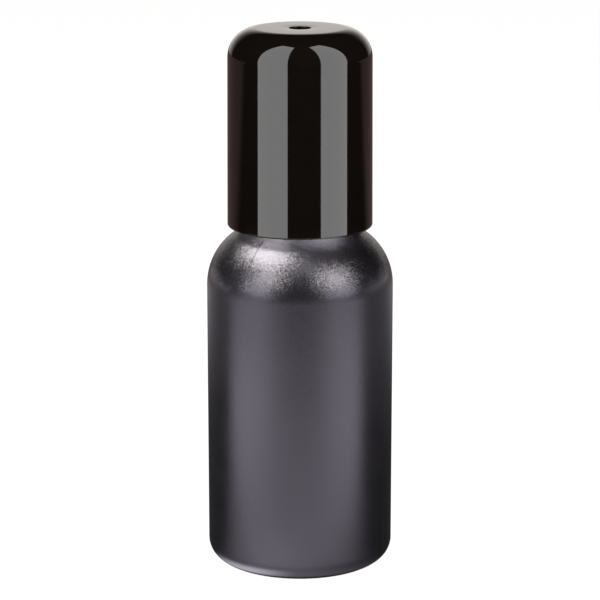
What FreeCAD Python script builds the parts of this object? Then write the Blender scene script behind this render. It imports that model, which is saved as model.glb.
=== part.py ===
import FreeCAD, Part
import math
import os

# Roll-on bottle: a coated glass bottle, a screw-on ball holder with its soft seat insert and its ball,
# and a push-on cap. Millimetres, Z up, origin at the middle of the base.

# Glass bottle
body_diameter = 29.0
side_height = 44.5
shoulder_radius = 9.75
heel_radius = 3.1
side_wall = 2.0
base_thickness = 3.2
punt_depth = 0.9
bearing_ring_width = 1.6
inner_heel_radius = 3.0
floor_rise = 0.6

# Glass neck
neck_bore_diameter = 11.6
neck_wall = 2.0
neck_height = 13.8
neck_fillet = 1.2
mouth_fillet = 1.0
rim_rounding = 0.6
bead_offset = 1.8
bead_height = 1.6
bead_rise = 0.6
thread_depth = 0.7
thread_clearance = 0.25

# Seat insert
plug_length = 8.6
plug_wall = 0.95
plug_clearance = 0.03
plug_tip = 0.5
fin_rise = 0.22
fin_height = 0.7
fin_place_shares = (0.35, 0.7)
flange_thickness = 0.8
flange_clearance = 0.3
seat_web = 0.7
seat_clearance = 0.12

# Roller ball
ball_diameter = 15.5

# Ball holder
ball_clearance = 0.15
socket_wall = 1.3
holder_wall = 0.9
skirt_gap = 0.96
skirt_chamfer = 0.25
grip_rise = 0.25
grip_radius = 0.5
grip_count = 36
land_height = 4.5
ledge_width = 0.6
ledge_height = 1.2
lip_height = 2.9
lip_crown = 0.35
catch_rise = 0.15
catch_height = 1.0
catch_gap = 0.15

# Cap
cap_clearance = 0.2
cap_wall = 1.15
cap_top_wall = 1.3
cap_overhang = 0.45
cap_draft_degrees = 0.31
cap_corner_radius = 4.5
cap_mouth_rounding = 0.25
cap_headroom = 0.85
dip_diameter = 7.4
dip_radius = 45.0
well_diameter = 3.4
well_depth = 1.1
well_edge = 0.1
well_floor = 0.75
ring_diameter = 6.0
ring_width = 0.9
ring_gap = 0.15
stop_rib_count = 6
stop_rib_width = 0.9
stop_rib_clearance = 0.15
snug_rib_count = 6
snug_rib_radius = 0.4
snug_rib_length = 8.0
snug_clearance = 0.03

# Turned sections: points are a radius and a height


def point(radius, height):
    return FreeCAD.Vector(radius, 0, height)


def reach(hypotenuse, side):
    """Other short side of a right triangle."""
    return math.sqrt(hypotenuse ** 2 - side ** 2)


class Section:
    """Half section of a turned piece, drawn edge by edge and spun about Z."""

    def __init__(self, radius, height):
        self.first = point(radius, height)
        self.last = self.first
        self.edges = []

    def line(self, radius, height):
        end = point(radius, height)
        self.edges.append(Part.makeLine(self.last, end))
        self.last = end

    def arc_through(self, mid_radius, mid_height, radius, height):
        end = point(radius, height)
        middle = point(mid_radius, mid_height)
        self.edges.append(Part.Arc(self.last, middle, end).toShape())
        self.last = end

    def arc_about(self, centre_radius, centre_height, radius, height):
        """Shorter way round a centre."""
        centre = point(centre_radius, centre_height)
        start_arm = self.last - centre
        end_arm = point(radius, height) - centre
        middle = (start_arm + end_arm).normalize() * start_arm.Length + centre
        self.arc_through(middle.x, middle.z, radius, height)

    def turned(self):
        self.line(self.first.x, self.first.z)
        face = Part.Face(Part.Wire(self.edges))
        return face.revolve(FreeCAD.Vector(), FreeCAD.Vector(0, 0, 1), 360)


def around(shape, count, first_angle):
    """Copies of a shape, evenly spaced about Z."""
    copies = []
    for step in range(count):
        turned = shape.copy()
        turned.rotate(FreeCAD.Vector(), FreeCAD.Vector(0, 0, 1), first_angle + 360 * step / count)
        copies.append(turned)
    return copies


# Places that more than one piece shares

body_radius = body_diameter / 2
shoulder_centre = body_radius - shoulder_radius
bore_radius = neck_bore_diameter / 2
neck_radius = bore_radius + neck_wall
neck_foot = side_height + reach(shoulder_radius + neck_fillet, neck_radius + neck_fillet - shoulder_centre)
rim_height = neck_foot + neck_height
clamp_height = rim_height + flange_thickness

plug_radius = bore_radius - plug_clearance - fin_rise
feed_radius = plug_radius - plug_wall
ball_radius = ball_diameter / 2
seat_radius = ball_radius + seat_clearance
ball_height = rim_height + seat_web + reach(seat_radius, plug_radius)

holder_bore = neck_radius + thread_depth + thread_clearance
flange_radius = holder_bore - flange_clearance
hollow_radius = ball_radius + ball_clearance
socket_radius = hollow_radius + socket_wall
skirt_radius = max(holder_bore + holder_wall, socket_radius + ledge_width - grip_rise)
land_radius = skirt_radius + grip_rise
ledge = clamp_height + ledge_height
skirt_foot = side_height + reach(shoulder_radius, holder_bore - shoulder_centre) + skirt_gap

cap_foot = skirt_foot - cap_overhang
cap_ceiling = ball_height + ball_radius + cap_headroom
cap_top = cap_ceiling + cap_top_wall
cap_inner_radius = land_radius + cap_clearance
cap_draft = math.tan(math.radians(cap_draft_degrees))


def make_glass_bottle():
    """Punted base, round heel and shoulder, and a neck with a transfer bead and a rounded rim."""
    ring_inner = body_radius - heel_radius - bearing_ring_width
    punt_radius = (ring_inner ** 2 + punt_depth ** 2) / (2 * punt_depth)
    fillet_centre = neck_radius + neck_fillet
    shoulder_share = shoulder_radius / (shoulder_radius + neck_fillet)
    shoulder_end_radius = shoulder_centre + (fillet_centre - shoulder_centre) * shoulder_share
    shoulder_end_height = side_height + (neck_foot - side_height) * shoulder_share
    bead_middle = neck_foot + bead_offset
    rim_foot = rim_height - rim_rounding

    inner_radius = body_radius - side_wall
    inner_shoulder = shoulder_radius - side_wall
    mouth_centre = bore_radius + mouth_fillet
    mouth_height = side_height + reach(inner_shoulder + mouth_fillet, mouth_centre - shoulder_centre)
    mouth_share = inner_shoulder / (inner_shoulder + mouth_fillet)
    mouth_end_radius = shoulder_centre + (mouth_centre - shoulder_centre) * mouth_share
    mouth_end_height = side_height + (mouth_height - side_height) * mouth_share
    floor_radius = inner_radius - inner_heel_radius
    dome_radius = (floor_radius ** 2 + floor_rise ** 2) / (2 * floor_rise)

    section = Section(0, punt_depth)
    section.arc_about(0, punt_depth - punt_radius, ring_inner, 0)
    section.line(body_radius - heel_radius, 0)
    section.arc_about(body_radius - heel_radius, heel_radius, body_radius, heel_radius)
    section.line(body_radius, side_height)
    section.arc_about(shoulder_centre, side_height, shoulder_end_radius, shoulder_end_height)
    section.arc_about(fillet_centre, neck_foot, neck_radius, neck_foot)
    section.line(neck_radius, bead_middle - bead_height / 2)
    section.arc_through(neck_radius + bead_rise, bead_middle, neck_radius, bead_middle + bead_height / 2)
    section.line(neck_radius, rim_foot)
    section.arc_about(neck_radius - rim_rounding, rim_foot, neck_radius - rim_rounding, rim_height)
    section.line(bore_radius + rim_rounding, rim_height)
    section.arc_about(bore_radius + rim_rounding, rim_foot, bore_radius, rim_foot)
    section.line(bore_radius, mouth_height)
    section.arc_about(mouth_centre, mouth_height, mouth_end_radius, mouth_end_height)
    section.arc_about(shoulder_centre, side_height, inner_radius, side_height)
    section.line(inner_radius, base_thickness + inner_heel_radius)
    section.arc_about(floor_radius, base_thickness + inner_heel_radius, floor_radius, base_thickness)
    section.arc_about(0, base_thickness + floor_rise - dome_radius, 0, base_thickness + floor_rise)
    return section.turned()


def make_seat_insert():
    """Finned plug for the neck bore, with a flange on the rim and the ball's seat inside it."""
    plug_foot = rim_height - plug_length

    section = Section(feed_radius, plug_foot)
    section.line(plug_radius - plug_tip, plug_foot)
    section.line(plug_radius, plug_foot + plug_tip)
    for fin_place_share in fin_place_shares:
        fin_middle = plug_foot + plug_length * fin_place_share
        section.line(plug_radius, fin_middle - fin_height / 2)
        section.arc_through(plug_radius + fin_rise, fin_middle, plug_radius, fin_middle + fin_height / 2)
    section.line(plug_radius, rim_height)
    section.line(flange_radius, rim_height)
    section.line(flange_radius, clamp_height)
    section.line(reach(seat_radius, ball_height - clamp_height), clamp_height)
    section.arc_about(0, ball_height, feed_radius, ball_height - reach(seat_radius, feed_radius))
    return section.turned()


def make_ball_holder():
    """Screw-on collar: ribbed skirt, ledge for the cap, ball socket with a rounded retaining lip."""
    land_foot = ledge - land_height
    lip_top = ball_height + lip_height
    lip_outer = reach(socket_radius, lip_height)
    lip_inner = reach(hollow_radius, lip_height)
    catch_top = rim_height - catch_gap
    catch_middle = catch_top - catch_height / 2

    section = Section(holder_bore + skirt_chamfer, skirt_foot)
    section.line(skirt_radius - skirt_chamfer, skirt_foot)
    section.line(skirt_radius, skirt_foot + skirt_chamfer)
    section.line(skirt_radius, land_foot)
    section.line(land_radius, land_foot + grip_rise)
    section.line(land_radius, ledge - skirt_chamfer)
    section.line(land_radius - skirt_chamfer, ledge)
    section.line(socket_radius, ledge)
    section.line(socket_radius, ball_height)
    section.arc_about(0, ball_height, lip_outer, lip_top)
    section.arc_through((lip_outer + lip_inner) / 2, lip_top + lip_crown, lip_inner, lip_top)
    section.arc_about(0, ball_height, reach(hollow_radius, ball_height - clamp_height), clamp_height)
    section.line(holder_bore, clamp_height)
    section.line(holder_bore, catch_top)
    section.arc_through(flange_radius - catch_rise, catch_middle, holder_bore, catch_top - catch_height)
    section.line(holder_bore, skirt_foot + skirt_chamfer)
    collar = section.turned()

    rib_foot = skirt_foot + skirt_chamfer
    rib_axis = point(land_radius - grip_radius, rib_foot)
    rib = Part.makeCylinder(grip_radius, land_foot + grip_rise - rib_foot, rib_axis)
    return collar.fuse(around(rib, grip_count, 0)).removeSplitter()


def make_roller_ball():
    return Part.makeSphere(ball_radius, point(0, ball_height))


def cap_outside():
    """Drafted side, large round corner, and a flat top that dips into a round gate well."""
    foot_radius = cap_inner_radius + cap_wall
    corner_height = cap_top - cap_corner_radius
    corner_radius = foot_radius - (corner_height - cap_foot) * cap_draft
    corner_centre = corner_radius - cap_corner_radius
    well_radius = well_diameter / 2
    well_bottom = cap_top - well_depth
    edge_centre = well_radius + well_edge
    dip_start = dip_diameter / 2
    dip_centre = cap_top - dip_radius
    edge_height = dip_centre + reach(dip_radius - well_edge, dip_start - edge_centre)
    dip_share = dip_radius / (dip_radius - well_edge)
    dip_end_radius = dip_start + (edge_centre - dip_start) * dip_share
    dip_end_height = dip_centre + (edge_height - dip_centre) * dip_share

    section = Section(0, cap_foot)
    section.line(foot_radius - cap_mouth_rounding, cap_foot)
    section.arc_about(foot_radius - cap_mouth_rounding, cap_foot + cap_mouth_rounding,
                      foot_radius, cap_foot + cap_mouth_rounding)
    section.line(corner_radius, corner_height)
    section.arc_about(corner_centre, corner_height, corner_centre, cap_top)
    section.line(dip_start, cap_top)
    section.arc_about(dip_start, dip_centre, dip_end_radius, dip_end_height)
    section.arc_about(edge_centre, edge_height, well_radius, edge_height)
    section.line(well_radius, well_bottom)
    section.line(0, well_bottom)
    return section.turned()


def cap_inside():
    """Hollow of the cap, with a thicker floor under the well and a ring that holds the ball down."""
    corner_radius = cap_corner_radius - cap_wall
    corner_height = cap_ceiling - corner_radius
    wall_radius = cap_inner_radius - (corner_height - cap_foot) * cap_draft
    ring_inner = (ring_diameter - ring_width) / 2
    ring_outer = (ring_diameter + ring_width) / 2
    ring_foot = ball_height + reach(ball_radius, ring_inner) + ring_gap
    well_ceiling = cap_top - well_depth - well_floor

    section = Section(0, cap_foot)
    section.line(cap_inner_radius, cap_foot)
    section.line(wall_radius, corner_height)
    section.arc_about(wall_radius - corner_radius, corner_height, wall_radius - corner_radius, cap_ceiling)
    section.line(ring_outer, cap_ceiling)
    section.line(ring_outer, ring_foot)
    section.line(ring_inner, ring_foot)
    section.line(ring_inner, well_ceiling)
    section.line(0, well_ceiling)
    return section.turned()


def make_overcap():
    """Hollow cap with ribs that stop it on the ledge and snug ribs that grip the holder's land."""
    outside = cap_outside()
    stop_inner = socket_radius + stop_rib_clearance
    stop_depth = cap_inner_radius + cap_wall / 2 - stop_inner
    stop_corner = FreeCAD.Vector(stop_inner, -stop_rib_width / 2, ledge)
    stop_rib = Part.makeBox(stop_depth, stop_rib_width, cap_top - ledge, stop_corner)
    stop_ribs = []
    for rib in around(stop_rib, stop_rib_count, 0):
        stop_ribs.append(rib.common(outside))

    snug_axis = land_radius + snug_clearance + snug_rib_radius
    snug_top = point(snug_axis, ledge)
    snug_foot = point(snug_axis, ledge - snug_rib_length)
    snug_ends = [Part.makeSphere(snug_rib_radius, snug_foot), Part.makeSphere(snug_rib_radius, snug_top)]
    snug_rib = Part.makeCylinder(snug_rib_radius, snug_rib_length, snug_foot).fuse(snug_ends)
    snug_ribs = around(snug_rib, snug_rib_count, 180 / snug_rib_count)
    return outside.cut(cap_inside()).fuse(stop_ribs + snug_ribs).removeSplitter()


pieces = {
    "glass_bottle": make_glass_bottle(),
    "seat_insert": make_seat_insert(),
    "ball_holder": make_ball_holder(),
    "roller_ball": make_roller_ball(),
    "overcap": make_overcap(),
}

os.makedirs("parts", exist_ok=True)
for name, shape in pieces.items():
    shape.exportStep(f"parts/{name}.step")
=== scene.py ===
import math

import bmesh
import bpy
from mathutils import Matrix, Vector


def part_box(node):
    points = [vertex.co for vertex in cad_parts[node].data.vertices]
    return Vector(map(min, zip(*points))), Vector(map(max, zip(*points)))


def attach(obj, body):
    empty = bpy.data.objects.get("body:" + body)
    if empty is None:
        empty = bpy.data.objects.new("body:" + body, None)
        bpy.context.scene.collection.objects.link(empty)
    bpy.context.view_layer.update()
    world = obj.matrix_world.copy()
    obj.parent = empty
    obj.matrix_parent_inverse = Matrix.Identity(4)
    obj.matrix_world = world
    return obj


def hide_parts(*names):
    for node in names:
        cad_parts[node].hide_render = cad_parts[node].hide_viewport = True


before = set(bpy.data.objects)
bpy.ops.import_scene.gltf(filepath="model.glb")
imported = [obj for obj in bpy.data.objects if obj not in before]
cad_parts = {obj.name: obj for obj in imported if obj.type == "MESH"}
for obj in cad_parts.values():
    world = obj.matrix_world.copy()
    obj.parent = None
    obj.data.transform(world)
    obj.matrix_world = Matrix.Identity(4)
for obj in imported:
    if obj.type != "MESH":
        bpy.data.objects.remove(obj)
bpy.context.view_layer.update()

scene = bpy.context.scene
scene.view_settings.view_transform = "Standard"

# Sizes in metres, the lens in millimetres, heights from the base, angles in degrees from the camera's
# side towards the right

body_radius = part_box("glass_bottle")[1].x
rim_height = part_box("glass_bottle")[1].z
side_height = 0.0445
shoulder_radius = 0.00975
neck_radius = 0.0078
holder_bore = 0.00875

cap_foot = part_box("overcap")[0].z
cap_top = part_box("overcap")[1].z
cap_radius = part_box("overcap")[1].x
cap_wall = 0.00115
cap_top_wall = 0.0013
cap_corner_radius = 0.0045
cap_mouth_rounding = 0.00025
cap_draft = math.tan(math.radians(0.31))
dip_start = 0.0037
dip_radius = 0.045
well_radius = 0.0017
well_depth = 0.0011
well_edge = 0.0001
well_floor = 0.00075
ring_inner = 0.00255
ring_outer = 0.00345
ring_foot = 0.08214
rib_count = 6
ledge = 0.070392
stop_rib_inner = 0.00935
stop_rib_width = 0.0009
stop_rib_top = 0.082
snug_rib_radius = 0.0004
snug_rib_middle = 0.01033
snug_rib_length = 0.008
snug_rib_sides = 24
snug_rib_end_angle = 80.0
turned_steps = 240
arc_steps = 40

thread_pitch = 0.003
thread_turns = 2.25
thread_depth = 0.0007
thread_sink = 0.00005
thread_root_width = 0.0013
thread_crest_width = 0.0006
thread_drop = 0.0098
thread_start = rim_height - thread_drop
thread_start_angle = -90.0
thread_runout_turns = 0.2
thread_steps_per_turn = 72

seam_angle = -36.0
seam_width = 0.0005
seam_rise = 0.00006
seam_sink = 0.00006
seam_top_gap = 0.001
seam_crest_share = 0.4
seam_fade_share = 0.3

coat_cloud_size = 0.006
flake_size = 0.00013
side_flake_lean = 0.04
shoulder_flake_lean = 0.2
flake_lean_change = 0.004
haze_size = 0.0035
grain_size = 0.00025
grain_depth = 0.000015
flow_cloud_size = 0.0025
milky_depth = 0.001
skin_grain_size = 0.0004
skin_grain_depth = 0.000008
ball_cloud_size = 0.004
scuff_size = 0.0003
scuff_depth = 0.000002
noise_range = (0.3, 0.7)
scuff_range = (0.35, 0.7)

weld_distance = 0.000001
sharp_angle = 25.0

camera_lens = 156.0
camera_distance = 0.4064
camera_pitch = 14.1
camera_aim = 0.04179


def direction(angle, elevation=0.0):
    """Unit vector at an angle from the camera's side towards the right, and an elevation."""
    a = math.radians(angle)
    e = math.radians(elevation)
    return Vector((math.sin(a) * math.cos(e), -math.cos(a) * math.cos(e), math.sin(e)))


# Node trees


class Nodes:
    """Adds nodes to a tree and joins them."""

    def __init__(self, tree):
        self.tree = tree
        tree.nodes.clear()

    def add(self, kind, inputs=None, **settings):
        node = self.tree.nodes.new(kind)
        for name, value in settings.items():
            setattr(node, name, value)
        for name, value in (inputs or {}).items():
            self.feed(node.inputs[name], value)
        return node

    def feed(self, socket, value):
        if isinstance(value, bpy.types.NodeSocket):
            self.tree.links.new(value, socket)
        else:
            socket.default_value = value

    def math(self, operation, first, second=0.0):
        node = self.add("ShaderNodeMath", operation=operation)
        self.feed(node.inputs[0], first)
        self.feed(node.inputs[1], second)
        return node.outputs[0]

    def vector(self, operation, first, second=(0, 0, 0)):
        node = self.add("ShaderNodeVectorMath", operation=operation)
        self.feed(node.inputs[0], first)
        self.feed(node.inputs[1], second)
        return node.outputs["Vector"]

    def spread(self, value, low, high, to_low=0.0, to_high=1.0, smooth=False):
        """Maps a value from one range to another."""
        node = self.add("ShaderNodeMapRange", interpolation_type="SMOOTHSTEP" if smooth else "LINEAR")
        for name, given in zip(
            ("Value", "From Min", "From Max", "To Min", "To Max"),
            (value, low, high, to_low, to_high),
        ):
            self.feed(node.inputs[name], given)
        return node.outputs["Result"]

    def noise(self, place, grain, detail=2.0):
        """Noise whose grains are about that many metres across."""
        inputs = {"Vector": place, "Scale": 1.0 / grain, "Detail": detail}
        return self.add("ShaderNodeTexNoise", inputs).outputs["Fac"]

    def place(self):
        """Place on the piece, in metres."""
        return self.add("ShaderNodeTexCoord").outputs["Object"]

    def between(self, factor, first, second):
        """Colour between two colours. The node's sockets for colours are picked by number."""
        node = self.add("ShaderNodeMix", data_type="RGBA")
        self.feed(node.inputs["Factor"], factor)
        self.feed(node.inputs[6], first)
        self.feed(node.inputs[7], second)
        return node.outputs[2]

    def mix(self, factor, first, second):
        """Number between two numbers. The node's sockets for numbers are picked by number."""
        node = self.add("ShaderNodeMix", data_type="FLOAT")
        self.feed(node.inputs[0], factor)
        self.feed(node.inputs[2], first)
        self.feed(node.inputs[3], second)
        return node.outputs[0]

    def bump(self, height, depth):
        """Bump whose full height range is that many metres deep."""
        return self.add("ShaderNodeBump", {"Height": height, "Distance": depth}).outputs["Normal"]


def surface(name, build):
    """Material whose principled shader takes the inputs that build returns."""
    material = bpy.data.materials.new(name)
    material.use_nodes = True
    nodes = Nodes(material.node_tree)
    shader = nodes.add("ShaderNodeBsdfPrincipled", build(nodes))
    nodes.add("ShaderNodeOutputMaterial", {"Surface": shader.outputs["BSDF"]})
    return material


# Materials


def coated_glass(nodes):
    """Satin metallic coat, purple grey, with leaning flakes and faint clouds."""
    place = nodes.place()
    cloud = nodes.noise(place, coat_cloud_size)
    colour = nodes.between(cloud, (0.108, 0.100, 0.122, 1), (0.123, 0.112, 0.139, 1))
    flakes = nodes.add("ShaderNodeTexVoronoi", {"Vector": place, "Scale": 1.0 / flake_size}).outputs["Color"]
    height = nodes.add("ShaderNodeSeparateXYZ", {"Vector": place}).outputs["Z"]
    change = (side_height, side_height + flake_lean_change, side_flake_lean, shoulder_flake_lean)
    most = nodes.spread(height, *change, smooth=True)
    lean = nodes.vector("MULTIPLY", nodes.vector("SUBTRACT", flakes, (0.5, 0.5, 0.5)), most)
    upright = nodes.add("ShaderNodeNewGeometry").outputs["Normal"]
    return {
        "Base Color": colour,
        "Metallic": 1.0,
        "Roughness": nodes.spread(cloud, *noise_range, 0.30, 0.34),
        "Normal": nodes.vector("NORMALIZE", nodes.vector("ADD", upright, lean)),
    }


def gloss_black(nodes):
    """High gloss moulded black, a little brown, with faint haze."""
    haze = nodes.noise(nodes.place(), haze_size, detail=3.0)
    colour = nodes.between(haze, (0.0042, 0.003, 0.0024, 1), (0.0056, 0.004, 0.0034, 1))
    return {
        "Base Color": colour,
        "Roughness": nodes.spread(haze, *noise_range, 0.03, 0.05),
        "IOR": 1.56,
    }


def satin_black(nodes):
    """Satin moulded black with a fine spark-eroded grain."""
    grain = nodes.noise(nodes.place(), grain_size)
    colour = nodes.between(grain, (0.014, 0.014, 0.015, 1), (0.024, 0.024, 0.025, 1))
    return {
        "Base Color": colour,
        "Roughness": nodes.spread(grain, *noise_range, 0.34, 0.46),
        "IOR": 1.5,
        "Normal": nodes.bump(grain, grain_depth),
    }


def natural_plastic(nodes):
    """Soft milky polyethylene, a little translucent, with faint flow clouds."""
    place = nodes.place()
    cloud = nodes.noise(place, flow_cloud_size, detail=3.0)
    colour = nodes.between(cloud, (0.68, 0.70, 0.69, 1), (0.76, 0.77, 0.75, 1))
    return {
        "Base Color": colour,
        "Roughness": nodes.spread(cloud, *noise_range, 0.38, 0.5),
        "IOR": 1.51,
        "Subsurface Weight": 0.25,
        "Subsurface Scale": milky_depth,
        "Normal": nodes.bump(nodes.noise(place, skin_grain_size), skin_grain_depth),
    }


def ball_white(nodes):
    """Polished white ball with a faint warm cast and very fine scuffs."""
    place = nodes.place()
    cloud = nodes.noise(place, ball_cloud_size)
    colour = nodes.between(cloud, (0.60, 0.60, 0.585, 1), (0.65, 0.645, 0.63, 1))
    scuffs = nodes.noise(place, scuff_size, detail=3.0)
    return {
        "Base Color": colour,
        "Roughness": nodes.spread(scuffs, *scuff_range, 0.08, 0.16),
        "IOR": 1.52,
        "Normal": nodes.bump(scuffs, scuff_depth),
    }


materials = {}
for build in (coated_glass, gloss_black, satin_black, natural_plastic, ball_white):
    materials[build.__name__] = surface(build.__name__, build)

# Meshes


def lofted(name, rings, slot, body):
    """Closed piece through rings of points, with a cap at each end, riding on a body."""
    count = len(rings[0])
    points = [point for ring in rings for point in ring]
    faces = [tuple(range(count)), tuple(range(len(points) - count, len(points)))]
    for start in range(0, len(points) - count, count):
        for step in range(count):
            here = start + step
            after = start + (step + 1) % count
            faces.append((here, after, after + count, here + count))
    mesh = bpy.data.meshes.new(name)
    mesh.from_pydata(points, [], faces)
    shape = bmesh.new()
    shape.from_mesh(mesh)
    bmesh.ops.recalc_face_normals(shape, faces=shape.faces)
    shape.to_mesh(mesh)
    shape.free()
    mesh.shade_smooth()
    mesh.set_sharp_from_angle(angle=math.radians(sharp_angle))
    mesh.materials.append(materials[slot])
    piece = bpy.data.objects.new(name, mesh)
    scene.collection.objects.link(piece)
    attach(piece, body)
    return piece


def even_shading(piece):
    """Joins the shading across smooth seams between the solid's faces and keeps its sharp edges."""
    weld = piece.modifiers.new("weld", "WELD")
    weld.merge_threshold = weld_distance
    split = piece.modifiers.new("sharp_edges", "EDGE_SPLIT")
    split.split_angle = math.radians(sharp_angle)
    piece.modifiers.new("shading", "WEIGHTED_NORMAL")


def arc(centre_radius, centre_height, radius, start, end):
    """Points of a round stretch of an outline; a point is a radius and a height."""
    for step in range(arc_steps + 1):
        a = math.radians(start + (end - start) * step / arc_steps)
        yield centre_radius + radius * math.cos(a), centre_height + radius * math.sin(a)


def cap_outline():
    """Half section of the cap, from the well over the top and side and back through the hollow."""
    corner_height = cap_top - cap_corner_radius
    corner_centre = cap_radius - (corner_height - cap_foot) * cap_draft - cap_corner_radius
    dip_lean = math.asin((dip_start - well_radius - well_edge) / (dip_radius - well_edge))
    dip_centre = cap_top - dip_radius
    edge_height = dip_centre + (dip_radius - well_edge) * math.cos(dip_lean)
    lean = math.degrees(dip_lean)
    ceiling = cap_top - cap_top_wall
    inner_radius = cap_corner_radius - cap_wall
    inner_height = ceiling - inner_radius
    inner_foot = cap_radius - cap_wall
    inner_centre = inner_foot - (inner_height - cap_foot) * cap_draft - inner_radius
    mouth = cap_radius - cap_mouth_rounding

    outline = [(well_radius, cap_top - well_depth)]
    outline += arc(well_radius + well_edge, edge_height, well_edge, 180, 90 + lean)
    outline += arc(dip_start, dip_centre, dip_radius, 90 + lean, 90)
    outline += arc(corner_centre, corner_height, cap_corner_radius, 90, 0)
    outline += arc(mouth, cap_foot + cap_mouth_rounding, cap_mouth_rounding, 0, -90)
    outline += [(inner_foot, cap_foot)]
    outline += arc(inner_centre, inner_height, inner_radius, 0, 90)
    outline += [(ring_outer, ceiling), (ring_outer, ring_foot), (ring_inner, ring_foot)]
    outline += [(ring_inner, cap_top - well_depth - well_floor)]
    return outline


def turned(name, outline, slot, body):
    """Closed piece from an outline that is turned about Z."""
    around = [direction(360 * step / turned_steps) for step in range(turned_steps)]
    rings = [[way * radius + Vector((0, 0, height)) for way in around] for radius, height in outline]
    piece = lofted(name, rings, slot, body)
    piece.modifiers.new("shading", "WEIGHTED_NORMAL").keep_sharp = True
    return piece


def stop_rib(name, angle):
    """Rib inside the cap that stops on the holder's ledge."""
    out = direction(angle)
    across = direction(angle + 90) * (stop_rib_width / 2)
    outer = cap_radius - cap_wall / 2
    section = (
        out * stop_rib_inner - across,
        out * outer - across,
        out * outer + across,
        out * stop_rib_inner + across,
    )
    rings = [[corner + Vector((0, 0, height)) for corner in section] for height in (ledge, stop_rib_top)]
    lofted(name, rings, "gloss_black", "cap")


def snug_rib(name, angle):
    """Round-ended rib inside the cap that grips the holder."""
    middle = direction(angle) * snug_rib_middle
    around = [direction(360 * side / snug_rib_sides) for side in range(snug_rib_sides)]
    outline = list(arc(0, ledge - snug_rib_length, snug_rib_radius, -snug_rib_end_angle, 0))
    outline += arc(0, ledge, snug_rib_radius, 0, snug_rib_end_angle)
    rings = []
    for radius, height in outline:
        lifted = middle + Vector((0, 0, height))
        rings.append([lifted + way * radius for way in around])
    lofted(name, rings, "gloss_black", "cap")


def thread(name, root_radius, rise, start_turn, slot, body):
    """Right-hand thread ridge that rises from a root radius and runs out at both ends."""
    rings = []
    last = round(thread_turns * thread_steps_per_turn)
    for step in range(last + 1):
        turn = step / thread_steps_per_turn
        to_end = min(turn, thread_turns - turn)
        share = min(1.0, to_end / thread_runout_turns)
        height = max(thread_sink, abs(rise) * math.sin(share * math.pi / 2))
        crest = root_radius + math.copysign(height, rise)
        root = root_radius - math.copysign(thread_sink, rise)
        lead = thread_start + turn * thread_pitch
        around = direction(thread_start_angle - 360 * (turn + start_turn))
        outline = (
            (root, -thread_root_width / 2),
            (crest, -thread_crest_width / 2),
            (crest, thread_crest_width / 2),
            (root, thread_root_width / 2),
        )
        rings.append([around * radius + Vector((0, 0, lead + offset)) for radius, offset in outline])
    lofted(name, rings, slot, body)


def mould_seam(name, angle):
    """Low ridge on the shoulder where the two halves of the mould met; it fades out towards the side."""
    across = direction(angle + 90)
    centre = direction(angle) * (body_radius - shoulder_radius) + Vector((0, 0, side_height))
    top = math.asin((cap_foot - seam_top_gap - side_height) / shoulder_radius)
    foot_side = seam_width / 2
    crest_side = foot_side * seam_crest_share
    rings = []
    for step in range(arc_steps + 1):
        tilt = top * step / arc_steps
        normal = direction(angle, math.degrees(tilt))
        foot = centre + normal * shoulder_radius
        crest = seam_rise * ((1 + seam_fade_share) * math.sin(tilt) - seam_fade_share)
        outline = (
            (-foot_side, -seam_sink),
            (-crest_side, crest),
            (crest_side, crest),
            (foot_side, -seam_sink),
        )
        rings.append([foot + across * side + normal * rise for side, rise in outline])
    lofted(name, rings, "coated_glass", "bottle")


for node, slot in (
    ("glass_bottle", "coated_glass"),
    ("seat_insert", "natural_plastic"),
    ("ball_holder", "satin_black"),
    ("roller_ball", "ball_white"),
    ("overcap", "gloss_black"),
):
    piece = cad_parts[node]
    piece.data.materials.clear()
    piece.data.materials.append(materials[slot])
even_shading(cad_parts["glass_bottle"])

shell = turned("cap_shell", cap_outline(), "gloss_black", "cap")
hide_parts("overcap")
# The first stop rib of the solid is at +X, which is at 90 degrees here
for number in range(rib_count):
    angle = 90 - 360 * number / rib_count
    stop_rib(f"cap_stop_rib_{number + 1}", angle)
    snug_rib(f"cap_snug_rib_{number + 1}", angle + 180 / rib_count)

thread("neck_thread", neck_radius, thread_depth, start_turn=0.0, slot="coated_glass", body="bottle")
thread("holder_thread", holder_bore, -thread_depth, start_turn=0.5, slot="satin_black", body="holder")
mould_seam("mould_seam_front", seam_angle)
mould_seam("mould_seam_back", seam_angle + 180)

# Stage

white = (1, 1, 1, 1)
black = (0, 0, 0, 1)
floor_size = 3.0
floor_glow = 0.955
floor_grey = (0.2, 0.2, 0.2, 1)
ambient = 0.12
dark_reflection = 0.004
backdrop_colour = (1.0, 0.94, 0.88, 1)
brown_reflection = (1.0, 0.72, 0.68, 1)

# Changes of the floor's brightness in reflections, which is painted light and shade: a start, an end, and the
# values there.
# The first group goes by the distance from the bottle's axis, the second by X, the third by Y with a slant.
front_fade = (0.08, 0.275, 0.88, 0.0)
near_reach = (0.0165, 0.04, 1.0, 0.0)
heel_reach = (0.0145, 0.0162, 1.0, 0.0)
# Painted contact shadow: in reflections the floor is dark right at the bottle's foot
contact_shadow = (0.0129, 0.0136, 0.0, 1.0)
beside_rise = (0.08, 0.22, 0.05, 0.42)
beside_end = (0.21, 0.26, 1.0, 0.0)
brown_start = (0.2, 0.26, 0.0, 1.0)

side_rise = (0.02, 0.14, 1.0, 2.35)
# Painted shadow of the bottle on the floor in reflections: lighter left of the foot, darker to the right
near_shade = (-0.014, 0.012, 1.75, 1.05)
# Painted light and shade under the heel: a bright crescent to the left, darker to the right
heel_shade = (-0.0095, 0.0, 6.5, 1.4)

floor_slant = 0.1
front_edge = (-0.03, -0.002, 1.0, 0.0)
behind_rise = (0.09, 0.2, 0.0, 0.15)

# Changes of the backdrop in reflections, by the Y and the Z of a direction
backdrop_side = (0.72, 0.97, 0.0, 1.0)
backdrop_top = (0.14, 0.5, 1.0, 0.0)

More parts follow.
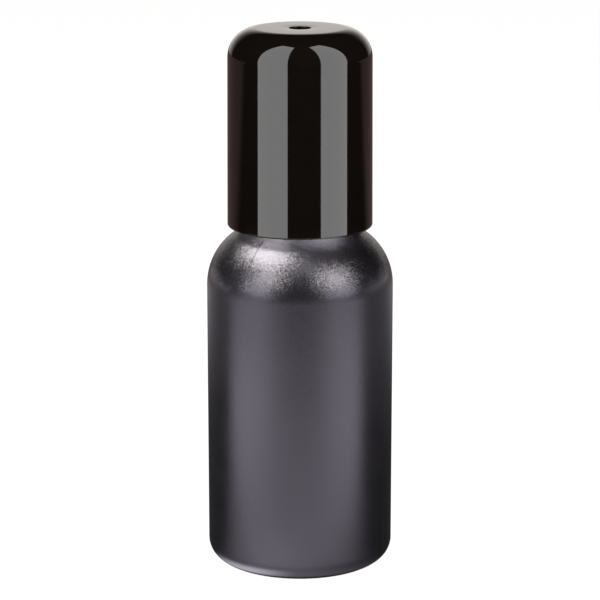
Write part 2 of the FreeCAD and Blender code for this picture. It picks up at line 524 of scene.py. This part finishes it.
plain_lamp = (1, 1, 1)
warm_lamp = (0.98, 1.0, 0.86)
closure_lamp_distance = 0.2
glass_lamp_distance = 0.5
overhead_height = 0.3


def mirrored_rays(nodes, rays):
    """1 for rays that a surface has mirrored or let through, and 0 for others."""
    return nodes.math("MAXIMUM", rays["Is Glossy Ray"], rays["Is Transmission Ray"])


def mirrored_floor(nodes):
    """Painted brightness and colour of the floor in reflections: white in front, dim beside, brown far away,
    with painted shadow near the bottle's foot.
    """
    place = nodes.place()
    split = nodes.add("ShaderNodeSeparateXYZ", {"Vector": place}).outputs
    away = nodes.add("ShaderNodeVectorMath", {"Vector": place}, operation="LENGTH").outputs["Value"]
    lean = nodes.math("MULTIPLY", split["X"], floor_slant)

    # Painted light and shade near the foot and under the heel, multiplied into the bright front
    near = nodes.mix(
        nodes.spread(away, *near_reach, smooth=True), 1.0, nodes.spread(split["X"], *near_shade, smooth=True)
    )
    heel = nodes.mix(
        nodes.spread(away, *heel_reach, smooth=True), 1.0, nodes.spread(split["X"], *heel_shade, smooth=True)
    )
    front = nodes.spread(away, *front_fade, smooth=True)
    sides = nodes.spread(nodes.math("ABSOLUTE", split["X"]), *side_rise, smooth=True)
    for factor in (sides, near, heel, nodes.spread(away, *contact_shadow)):
        front = nodes.math("MULTIPLY", front, factor)

    beside = nodes.spread(away, *beside_rise, smooth=True)
    beside = nodes.math("MULTIPLY", beside, nodes.spread(away, *beside_end, smooth=True))
    behind = nodes.spread(nodes.math("SUBTRACT", split["Y"], lean), *behind_rise, smooth=True)
    in_front = nodes.spread(nodes.math("ADD", split["Y"], lean), *front_edge, smooth=True)
    brightness = nodes.mix(in_front, nodes.math("ADD", beside, behind), front)
    colour = nodes.between(nodes.spread(away, *brown_start), white, brown_reflection)
    return brightness, colour


def make_floor():
    """White floor that keeps the shadow."""
    mesh = bpy.data.meshes.new("floor")
    half = floor_size / 2
    corners = [(-half, -half, 0), (half, -half, 0), (half, half, 0), (-half, half, 0)]
    mesh.from_pydata(corners, [], [(0, 1, 2, 3)])
    floor = bpy.data.objects.new("floor", mesh)
    scene.collection.objects.link(floor)

    material = bpy.data.materials.new("floor_white")
    material.use_nodes = True
    nodes = Nodes(material.node_tree)
    rays = nodes.add("ShaderNodeLightPath").outputs
    seen = nodes.math("MULTIPLY", rays["Is Camera Ray"], floor_glow)
    mirror = mirrored_rays(nodes, rays)
    # In reflections the floor glows with a painted pattern of light and shade, not with how the lamps light
    # it
    brightness, colour = mirrored_floor(nodes)
    mirrored = nodes.math("MULTIPLY", mirror, brightness)
    diffuse = nodes.add("ShaderNodeBsdfDiffuse", {"Color": nodes.between(mirror, floor_grey, black)})
    glow_colour = nodes.between(mirror, white, colour)
    glow = nodes.math("ADD", seen, mirrored)
    emission = nodes.add("ShaderNodeEmission", {"Color": glow_colour, "Strength": glow})
    both = nodes.add("ShaderNodeAddShader")
    nodes.feed(both.inputs[0], diffuse.outputs[0])
    nodes.feed(both.inputs[1], emission.outputs[0])
    nodes.add("ShaderNodeOutputMaterial", {"Surface": both.outputs[0]})
    mesh.materials.append(material)


def make_world():
    """White to the camera, dim round the object, with a low warm backdrop behind it in reflections."""
    world = bpy.data.worlds.new("studio")
    scene.world = world
    world.use_nodes = True
    nodes = Nodes(world.node_tree)
    rays = nodes.add("ShaderNodeLightPath").outputs
    heading = nodes.add("ShaderNodeTexCoord").outputs["Generated"]
    split = nodes.add("ShaderNodeSeparateXYZ", {"Vector": heading}).outputs
    behind = nodes.spread(split["Y"], *backdrop_side)
    low = nodes.spread(split["Z"], *backdrop_top)
    backdrop = nodes.mix(nodes.math("MULTIPLY", behind, low), dark_reflection, 1.0)
    soft = nodes.mix(mirrored_rays(nodes, rays), ambient, backdrop)
    level = nodes.math("MAXIMUM", rays["Is Camera Ray"], soft)
    colour = nodes.between(rays["Is Camera Ray"], backdrop_colour, white)
    background = nodes.add("ShaderNodeBackground", {"Color": colour, "Strength": level})
    nodes.add("ShaderNodeOutputWorld", {"Surface": background.outputs[0]})


def group(name, names):
    """Objects that a lamp is limited to."""
    collection = bpy.data.collections.new(name)
    for member in names:
        collection.objects.link(bpy.data.objects[member])
    return collection


def softbox(name, lit, middle, aim, width, height, radiance, colour):
    """Rectangular area lamp of that radiance, turned towards a point, for one group of objects."""
    lamp = bpy.data.lights.new(name, "AREA")
    lamp.shape = "RECTANGLE"
    lamp.size = width
    lamp.size_y = height
    lamp.energy = math.pi * width * height * radiance
    lamp.color = colour
    box = bpy.data.objects.new(name, lamp)
    scene.collection.objects.link(box)
    box.location = middle
    box.rotation_euler = (aim - middle).to_track_quat("-Z", "Y").to_euler()
    box.visible_camera = False
    box.light_linking.receiver_collection = lit
    return box


def side_box(name, lit, distance, angle, width, foot, top, radiance, colour=plain_lamp):
    """Upright softbox that faces the bottle's axis."""
    axis = Vector((0, 0, (foot + top) / 2))
    softbox(name, lit, axis + direction(angle) * distance, axis, width, top - foot, radiance, colour)


def overhead_box(name, lit, place, size, radiance, turn=0.0, colour=plain_lamp, past_cap=False):
    """Level softbox over the bottle, which only the floor can shade.

    Past the cap means that the cap is in the way of rays which the shoulder mirrors towards the lamp,
    so only rays that are aimed at the lamp count.
    """
    below = Vector((*place, 0))
    box = softbox(name, lit, below + Vector((0, 0, overhead_height)), below, *size, radiance, colour)
    box.rotation_euler.z += math.radians(turn)
    box.light_linking.blocker_collection = group(name + "_shade", ("floor",))
    box.data.cycles.use_multiple_importance_sampling = not past_cap


def make_lights():
    """Lamps for the closure, and lamps of their own for the glass."""
    ribs = [f"cap_{kind}_rib_{number + 1}" for kind in ("stop", "snug") for number in range(rib_count)]
    closure = group(
        "closure",
        ["cap_shell", *ribs, "ball_holder", "holder_thread", "seat_insert", "roller_ball", "floor"],
    )
    lamp = {"lit": closure, "distance": closure_lamp_distance}
    side_box("closure_left", **lamp, angle=-43.7, width=0.184, foot=0.001, top=0.7, radiance=3.3)
    side_box("closure_right", **lamp, angle=55.0, width=0.168, foot=0.001, top=0.7, radiance=3.3)

    glass = group("glass", ("glass_bottle", "neck_thread", "mould_seam_front", "mould_seam_back"))
    lamp = {"lit": glass, "distance": glass_lamp_distance}
    warm = {**lamp, "colour": warm_lamp}
    side_box("glass_left_rim", **lamp, angle=-119.0, width=0.54, foot=0.001, top=0.036, radiance=1.35)
    side_box("glass_left_low", **lamp, angle=-53.0, width=0.34, foot=0.02, top=0.22, radiance=2.2)
    side_box("glass_left_high", **warm, angle=-45.0, width=0.325, foot=0.22, top=0.52, radiance=4.6)
    side_box("glass_right_rim", **lamp, angle=115.0, width=0.54, foot=0.001, top=0.038, radiance=1.4)
    side_box("glass_right_low", **lamp, angle=51.0, width=0.34, foot=0.02, top=0.22, radiance=2.2)
    side_box("glass_right_high", **warm, angle=47.0, width=0.36, foot=0.22, top=0.5, radiance=5.4)

    overhead_box(
        "glass_key", glass, place=(-0.174, -0.01), size=(0.19, 0.3), radiance=9.0, turn=25.0, colour=warm_lamp
    )
    overhead_box(
        "glass_key_edge",
        glass,
        place=(-0.105, 0.055),
        size=(0.04, 0.08),
        radiance=10.0,
        turn=50.0,
        colour=warm_lamp,
        past_cap=True,
    )
    overhead_box("glass_fill", glass, place=(0.06, -0.2), size=(0.28, 0.15), radiance=1.0)
    overhead_box("glass_back_left", glass, (-0.08, 0.125), size=(0.09, 0.09), radiance=5.0, past_cap=True)
    overhead_box("glass_back_right", glass, (0.07, 0.12), size=(0.08, 0.1), radiance=5.5, past_cap=True)


def make_camera():
    """Long lens that looks a little down on the bottle."""
    camera = bpy.data.objects.new("camera", bpy.data.cameras.new("camera"))
    scene.collection.objects.link(camera)
    camera.data.lens = camera_lens
    camera.location = direction(0, camera_pitch) * camera_distance + Vector((0, 0, camera_aim))
    camera.rotation_euler = (math.radians(90 - camera_pitch), 0, 0)
    scene.camera = camera


make_floor()
make_world()
make_lights()
make_camera()
